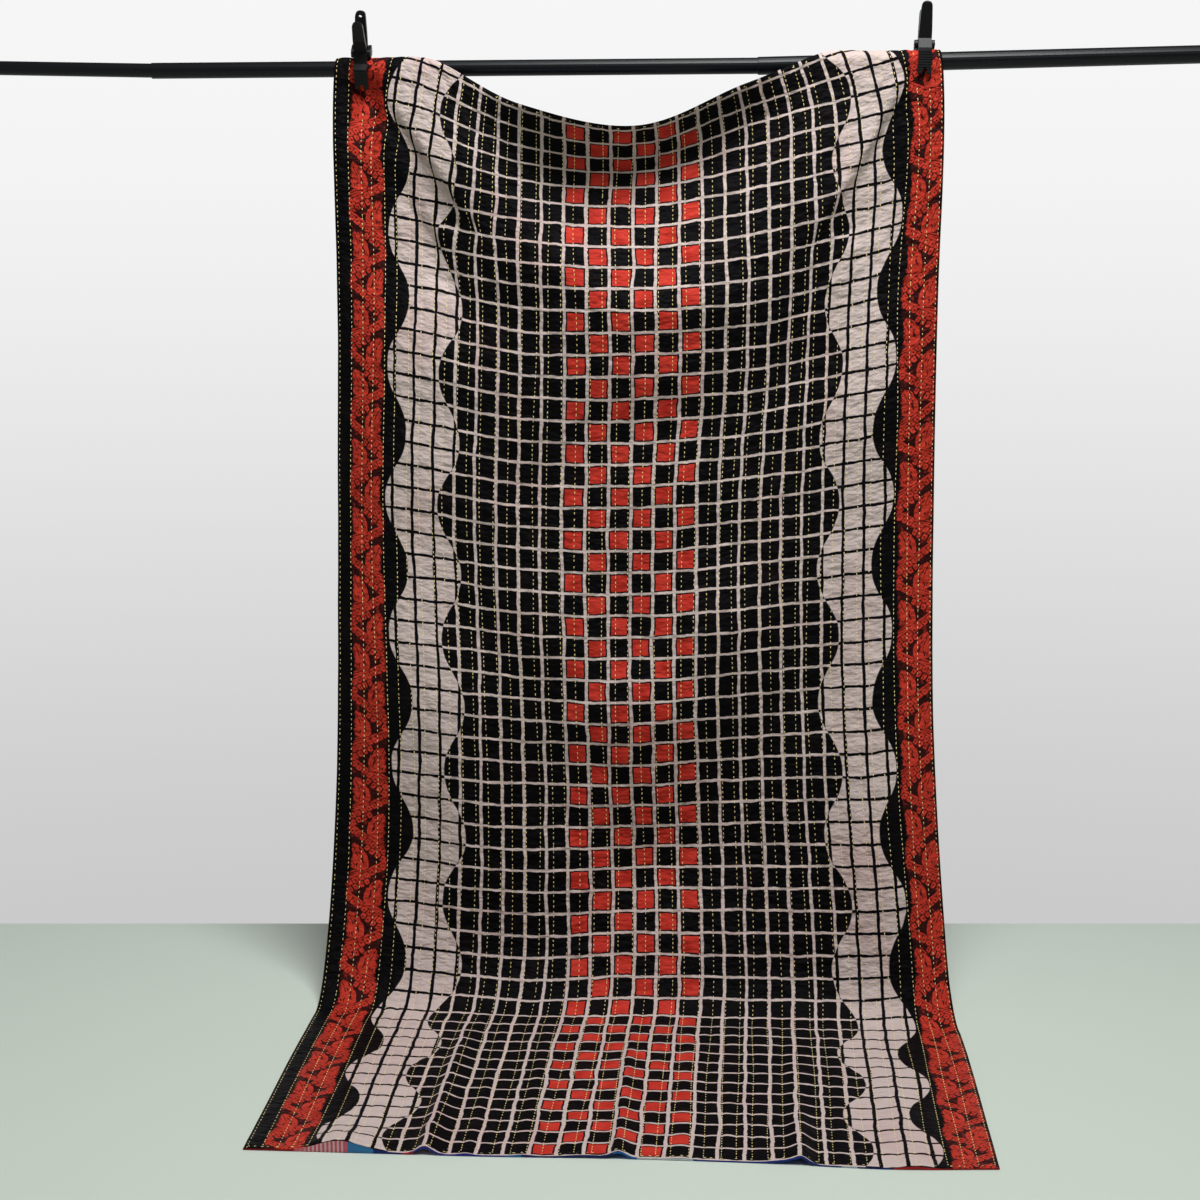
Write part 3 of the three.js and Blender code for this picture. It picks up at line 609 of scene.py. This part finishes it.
def face_material():
    g = Graph("printed_cotton")
    c, r = g.print_place()
    xm, ym = c * CELL_W, r * CELL_L
    # hand-drawn wobble of the print
    cw = c + 0.032 * g.noise(xm / 34, ym / 34, seed=1) + 0.06 * g.noise(xm / 120, ym / 120, seed=2) + 0.014 * g.noise(xm / 9, ym / 9, seed=16)
    rw = r + 0.034 * g.noise(xm / 34, ym / 34, seed=3) + 0.06 * g.noise(xm / 120, ym / 120, seed=4) + 0.018 * g.noise(xm / 9, ym / 9, seed=17)
    dx = g.absv(cw - g.math("ROUND", cw)) * CELL_W
    dy = g.absv(rw - g.math("ROUND", rw)) * CELL_L
    uneven = g.noise(xm / 22, ym / 22, seed=5)
    half_light = 2.4 + 0.5 * uneven
    half_dark = 2.65 + 0.6 * uneven
    near = g.minv(dx - 0.3, dy + 0.15)
    light_lines = g.step(near - half_light, 0.45, -0.45)
    dark_lines = g.step(near - half_dark, 0.5, -0.5)
    fade = g.noise(xm / 60, ym / 60, detail=2, seed=6)
    light = g.mix(g.step(g.noise(xm / 150, ym / 210, detail=2, seed=7), -0.1, 0.75), LIGHT, LIGHT_PINK)
    black = g.mix(g.step(fade, 0.0, 1.0), BLACK, BLACK_WARM)
    red = g.mix(g.step(g.noise(xm / 34, ym / 34, detail=2, seed=8), -0.6, 0.9), RED, RED_DEEP)

    # light ribbons of even width that meander every six rows
    jitter = 0.05 * g.noise(xm / 60, ym / 60, seed=9)
    wave = g.math("COSINE", (r - 1.68) * (2 * math.pi / 6.0))
    wave = wave * (1.18 - 0.18 * wave * wave)
    soft = 0.022
    between = lambda lo, hi: g.step(c - lo, -soft, soft) * g.step(hi - c, -soft, soft)
    left_in, right_in = -8.27 - 0.52 * wave + jitter, 9.30 + 0.52 * wave + jitter
    ribbons = between(-10.83 - 0.525 * wave + jitter, left_in) + between(right_in, 11.90 + 0.53 * wave + jitter)
    ground = between(left_in, right_in)

    # red checks in the middle columns
    odd = g.math("FLOORED_MODULO", g.math("FLOOR", cw) + g.math("FLOOR", rw), 2.0)
    middle = g.math("LESS_THAN", g.absv(cw), 3.0)
    squares = odd * middle * g.step(near - half_light - 2.6, -0.4, 0.4) * g.step(r, 0.0, 0.03)

    # red borders, with ragged dyed edges
    rag = 0.10 * g.noise(xm / 8, ym / 7, detail=2, seed=10) + 0.04 * g.noise(xm / 40, ym / 60, seed=11)
    soft_band = lambda lo, hi: g.step(c - lo + rag, -0.06, 0.06) * g.step(hi - c + rag, -0.06, 0.06)
    high = g.step(r, 16.0, 2.0)
    side = g.math("LESS_THAN", 0.0, c)
    down = ym + (110.8 - 43.0 * side)
    sway = -0.08 * g.math("SINE", down * (math.pi / MOTIF_STEP))     # the bands bulge opposite each bud
    left_band, right_band = soft_band(-13.24 + sway, -11.6 + sway), soft_band(12.68 + 0.12 * high + sway, 14.36)
    bands = left_band + right_band
    motif, buds = border_motif(g, (c - (-12.43 + 25.95 * side)) * CELL_W, down)
    tone = 0.7 * g.step(g.noise(xm / 20, ym / 20, detail=2, seed=12), -0.7, 0.9) * (1.0 - 0.2 * buds)
    border = g.mix(tone, BORDER_RED, BORDER_DEEP)
    border = g.mix(0.95 * motif, border, BORDER_INK)

    colour = g.mix(light_lines * ground, black, light)
    colour = g.mix(squares * ground, colour, red)
    colour = g.mix(ribbons, colour, g.mix(dark_lines, light, black))
    colour = g.mix(bands, colour, border)
    g.feed(g.shader.inputs["Base Color"], colour)
    g.shader.inputs["Roughness"].default_value = 0.56
    g.shader.inputs["Specular IOR Level"].default_value = 0.06
    g.shader.inputs["Sheen Weight"].default_value = 0.006
    g.shader.inputs["Sheen Roughness"].default_value = 0.5
    ripples = 0.45 * g.noise(xm / 15, ym / 6.5, detail=1, seed=13) + 1.3 * g.noise(xm / 30, ym / 17, detail=2, seed=15)
    weave = g.noise(xm / 0.9, ym / 0.9, detail=0, seed=14)
    g.bump(ripples + 0.1 * weave, 0.9, 0.0018)
    return g.mat


def backing_material():
    g = Graph("backing_cotton")
    c, r = g.print_place()
    xm, ym = c * CELL_W, r * CELL_L
    place = c + 0.06 * g.noise(xm / 40, ym / 80, seed=21)
    ramp = g.tree.nodes.new("ShaderNodeValToRGB")
    ramp.color_ramp.interpolation = "CONSTANT"
    stripes = [
        # start column, colour of the stripe
        (-14.05, srgb(150, 28, 32)), (-12.1, srgb(214, 96, 116)), (-10.0, srgb(62, 126, 180)), (-9.0, srgb(28, 44, 112)),
        (-7.9, srgb(188, 48, 62)), (-7.4, srgb(50, 56, 148)), (-4.0, srgb(44, 118, 174)), (-3.3, srgb(28, 40, 104)),
        (0.0, srgb(38, 102, 178)), (0.95, srgb(194, 202, 208)), (3.0, srgb(32, 58, 140)), (8.5, srgb(190, 202, 210)),
        (9.0, srgb(28, 44, 112)), (10.4, srgb(182, 40, 46)), (12.2, srgb(150, 28, 32)),
    ]
    els = ramp.color_ramp.elements
    while len(els) < len(stripes):
        els.new(0.5)
    for e, (start, colour) in zip(els, stripes):
        e.position = (start - LEFT_EDGE) / (RIGHT_EDGE - LEFT_EDGE)
        e.color = colour
    g.feed(ramp.inputs[0], (place - LEFT_EDGE) / (RIGHT_EDGE - LEFT_EDGE))
    ground = Val(g, ramp.outputs[0])
    pinstripe = g.step(g.absv(g.math("FLOORED_MODULO", xm + 1000.0, 6.4) - 3.2), 1.7, 1.2)
    pinstripe = pinstripe * g.step(place, -12.05, -11.2) * g.step(place, -9.98, -10.08)
    ground = g.mix(0.75 * pinstripe, ground, srgb(226, 208, 206))
    # rows of small blossoms over the stripes
    bx = g.math("FLOORED_MODULO", xm + 1000.0 + 0.0, 58.0) - 29.0
    by = g.math("FLOORED_MODULO", ym + 1000.0 + 38.0 * g.math("FLOORED_MODULO", g.math("FLOOR", (xm + 1000.0) / 58.0), 2.0), 76.0) - 38.0
    bx = bx + 2.0 * g.noise(xm / 14, ym / 14, seed=22)
    rad = g.math("SQRT", bx * bx + by * by)
    ang = g.math("ARCTAN2", by, bx)
    rim = 12.0 + 3.2 * g.math("COSINE", ang * 6.0)
    petals = g.step(rad - rim, 0.8, -0.8) * g.step(rad, 3.2, 4.2)
    colour = g.mix(petals, ground, srgb(214, 198, 190))
    colour = g.mix(g.step(rad, 4.2, 3.2), colour, srgb(198, 60, 58))
    fine = g.step(g.absv(g.math("FLOORED_MODULO", xm + 1000.0, 58.0) - 0.0), 1.6, 0.8)
    colour = g.mix(fine * g.step(g.math("FLOORED_MODULO", ym + 1000.0, 9.0), 4.4, 4.0), colour, srgb(216, 206, 200))
    g.feed(g.shader.inputs["Base Color"], colour)
    g.shader.inputs["Roughness"].default_value = 0.88
    g.shader.inputs["Specular IOR Level"].default_value = 0.2
    g.bump(g.noise(xm / 15, ym / 4.2, detail=2, seed=23), 0.5, 0.0011)
    return g.mat


def thread_material():
    g = Graph("stitch_thread")
    g.shader.inputs["Base Color"].default_value = srgb(252, 234, 160)
    g.shader.inputs["Roughness"].default_value = 0.6
    g.shader.inputs["Specular IOR Level"].default_value = 0.3
    return g.mat


def plain(name, colour, rough, metal=0.0, spec=0.5, coat=0.0):
    g = Graph(name)
    g.shader.inputs["Base Color"].default_value = colour
    g.shader.inputs["Roughness"].default_value = rough
    g.shader.inputs["Metallic"].default_value = metal
    g.shader.inputs["Specular IOR Level"].default_value = spec
    g.shader.inputs["Coat Weight"].default_value = coat
    g.shader.inputs["Coat Roughness"].default_value = 0.3
    return g.mat


def dress(obj, mat):
    obj.data.materials.clear()
    obj.data.materials.append(mat)


dress(face, face_material())
dress(backing, backing_material())
thread = thread_material()
for o in stitches:
    dress(o, thread)

rod_paint = plain("rod_paint", srgb(15, 18, 21), 0.36, 0.0, 0.25)
nylon = plain("clip_nylon", srgb(10, 11, 12), 0.42, 0.0, 0.28)
steel = plain("pin_steel", srgb(96, 98, 100), 0.35, 0.9)
for name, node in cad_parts.items():
    if name.startswith("quilt"):
        continue
    dress(node, steel if name.endswith("pin") else nylon if name.startswith("clip") else rod_paint)
    node.data.polygons.foreach_set("use_smooth", np.ones(len(node.data.polygons), dtype=bool))
    node.data.set_sharp_from_angle(angle=math.radians(35))
    if name.endswith("lever"):
        soft_edge = node.modifiers.new("soft_edges", "BEVEL")
        soft_edge.width, soft_edge.segments = 0.0006, 2
        soft_edge.limit_method, soft_edge.angle_limit = "ANGLE", math.radians(40)

# ------------------------------------------------------------------ the new pieces hang on the root; the imported quilt's own meshes are hidden
for o in (face, backing, *stitches):
    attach(o, "root")
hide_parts("quilt_face")
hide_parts("quilt_backing")

# ------------------------------------------------------------------ floor, light and camera
scene = bpy.context.scene
scene.view_settings.view_transform = "Standard"
scene.view_settings.look = "None"

floor_z = -ORIGIN[2] / 1000 - 0.0004
bpy.ops.mesh.primitive_plane_add(size=1, location=(0, 0, 0))
floor = bpy.context.object
floor.name = "floor"
YAW = math.radians(3.9147)    # of the camera; the floor ends square to it, a little behind the quilt
floor.data.transform(Matrix.Translation((1.102, 0.290, floor_z)) @ Matrix.Rotation(YAW, 4, "Z") @ Matrix.Translation((0, -4.0, 0)) @ Matrix.Diagonal((13.0, 8.0, 1.0, 1.0)))
dress(floor, plain("floor_paint", srgb(214, 226, 214), 0.75, 0.0, 0.2))

# a pale surround at eye level, brightest behind the quilt, and a dim ceiling
world = bpy.data.worlds.new("studio")
scene.world = world
world.use_nodes = True
sky = world.node_tree
background = sky.nodes.get("Background") or sky.nodes.new("ShaderNodeBackground")
background.inputs[0].default_value = (1.0, 1.0, 1.0, 1.0)
around = sky.nodes.new("ShaderNodeTexCoord")
parts = sky.nodes.new("ShaderNodeSeparateXYZ")
sky.links.new(around.outputs["Generated"], parts.inputs[0])


def ramp_node(source, low, high, at_low, at_high):
    n = sky.nodes.new("ShaderNodeMapRange")
    n.interpolation_type, n.clamp = "SMOOTHSTEP", True
    sky.links.new(source, n.inputs[0])
    for k, a in enumerate((low, high, at_low, at_high)):
        if isinstance(a, bpy.types.NodeSocket):
            sky.links.new(a, n.inputs[1 + k])
        else:
            n.inputs[1 + k].default_value = a
    return n.outputs[0]


behind = ramp_node(parts.outputs[2], -0.36, 0.14, 0.58, 0.92)
level = ramp_node(parts.outputs[1], -0.1, 0.3, 0.065, behind)
strength = ramp_node(parts.outputs[2], 0.22, 0.45, level, 0.08)
sky.links.new(strength, background.inputs[1])


def soft_light(name, place, target, size, watts):
    data = bpy.data.lights.new(name, "AREA")
    data.shape, data.size, data.size_y, data.energy = "RECTANGLE", size[0], size[1], watts
    obj = bpy.data.objects.new(name, data)
    scene.collection.objects.link(obj)
    aim = Vector(target) - Vector(place)
    obj.matrix_world = Matrix.Translation(place) @ aim.to_track_quat("-Z", "Y").to_matrix().to_4x4()
    return obj


soft_light("key", (1.62, -1.42, 2.45), (1.15, -0.1, -0.5), (1.5, 1.5), 137)
soft_light("fill", (-1.3, -2.4, 0.1), (0.9, 0.0, -0.7), (1.2, 1.6), 3.5)

FOCAL_PX, PITCH = 1882.4, math.radians(9.049)
EYE = to_m(np.array([198.14, -3307.26, 1227.20]))
forward = Vector((-math.sin(YAW) * math.cos(PITCH), math.cos(YAW) * math.cos(PITCH), -math.sin(PITCH)))
right = Vector((math.cos(YAW), math.sin(YAW), 0.0))
up = right.cross(forward)
cam_data = bpy.data.cameras.new("camera")
cam_data.sensor_fit, cam_data.sensor_width = "HORIZONTAL", 36.0
cam_data.lens = 36.0 * FOCAL_PX / 1200.0
cam_data.clip_end = 100
camera = bpy.data.objects.new("camera", cam_data)
scene.collection.objects.link(camera)
turn = Matrix((right, up, -forward)).transposed()
camera.matrix_world = Matrix.Translation(Vector(EYE)) @ turn.to_4x4()
scene.camera = camera

# ------------------------------------------------------------------ bring the scene's transforms up to date
bpy.context.view_layer.update()
